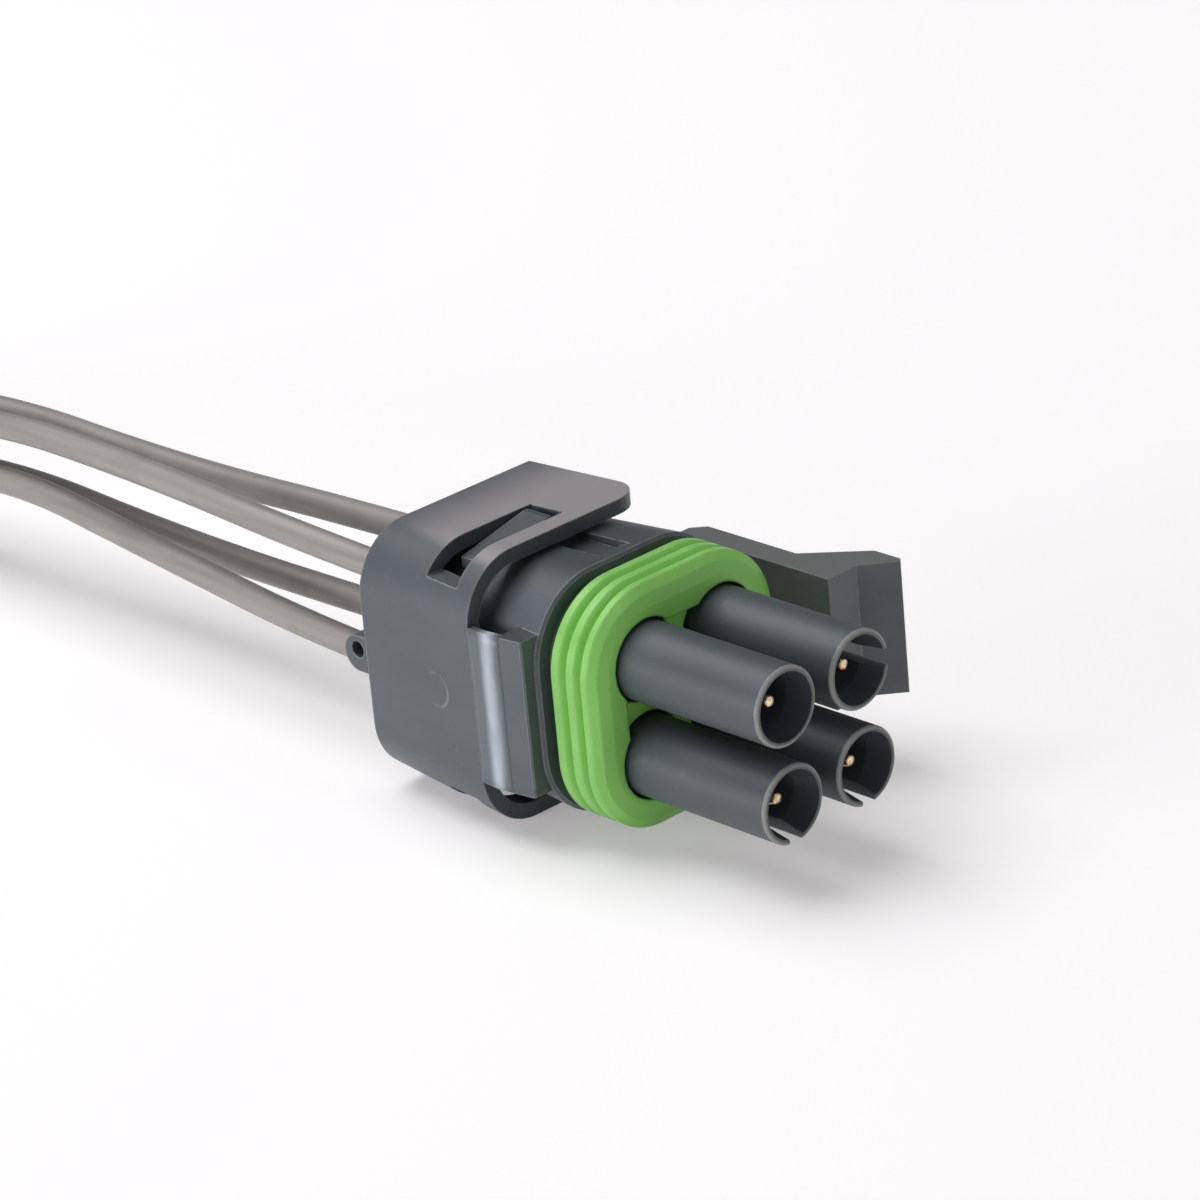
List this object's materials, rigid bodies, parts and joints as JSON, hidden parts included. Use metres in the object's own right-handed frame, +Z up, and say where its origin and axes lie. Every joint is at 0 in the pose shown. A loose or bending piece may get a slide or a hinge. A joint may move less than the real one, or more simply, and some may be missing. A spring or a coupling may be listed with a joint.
{
  "type": "sealed wire harness connector",
  "caption": "Sealed in-line harness connector, tower half, with green perimeter seal, side latch arm, hinged secondary lock and grey wire leads",
  "frame": {"origin": "middle of the square of four tower mouths, on the mating axis, in the plane of the mouths", "axes": "+X along the mating axis out of the tower mouths, +Z up with the connector lying as in the picture, latch arm on the +Y side and lock hinge on the -Y side"},
  "size_m": [0.1891, 0.0304, 0.0228],
  "materials": {
    "housing_grey": "satin moulded",
    "seal_green": "matt silicone",
    "contact_metal": "tin-plated, worn to brass at the tip",
    "cable_seal_green": "matt silicone",
    "wire_grey": "satin insulation",
    "conductor_copper": "bare stranded copper"
  },
  "bodies": {
    "connector": {"front_housing": "housing_grey", "latch_arm": "housing_grey", "tower_1": "housing_grey", "tower_2": "housing_grey", "tower_3": "housing_grey", "tower_4": "housing_grey", "hinge_strap": "housing_grey", "perimeter_seal": "seal_green", "contact_pin_1": "contact_metal", "cable_seal_1": "cable_seal_green", "wire_1": "wire_grey", "conductor_1": "conductor_copper", "contact_pin_2": "contact_metal", "cable_seal_2": "cable_seal_green", "wire_2": "wire_grey", "conductor_2": "conductor_copper", "contact_pin_3": "contact_metal", "cable_seal_3": "cable_seal_green", "wire_3": "wire_grey", "conductor_3": "conductor_copper", "contact_pin_4": "contact_metal", "cable_seal_4": "cable_seal_green", "wire_4": "wire_grey", "conductor_4": "conductor_copper"},
    "lock": {"secondary_lock": "housing_grey", "lock_tab_upper": "housing_grey", "lock_tab_lower": "housing_grey"}
  },
  "joints": [
    {"name": "lock_hinge", "type": "hinge", "parent": "connector", "child": "lock", "pos_m": [-0.0246, -0.01146, 0], "axis": [0, 0, 1], "range_deg": [0, 110], "deforming": ["lock_tab_upper", "lock_tab_lower", "hinge_strap"]}
  ]
}
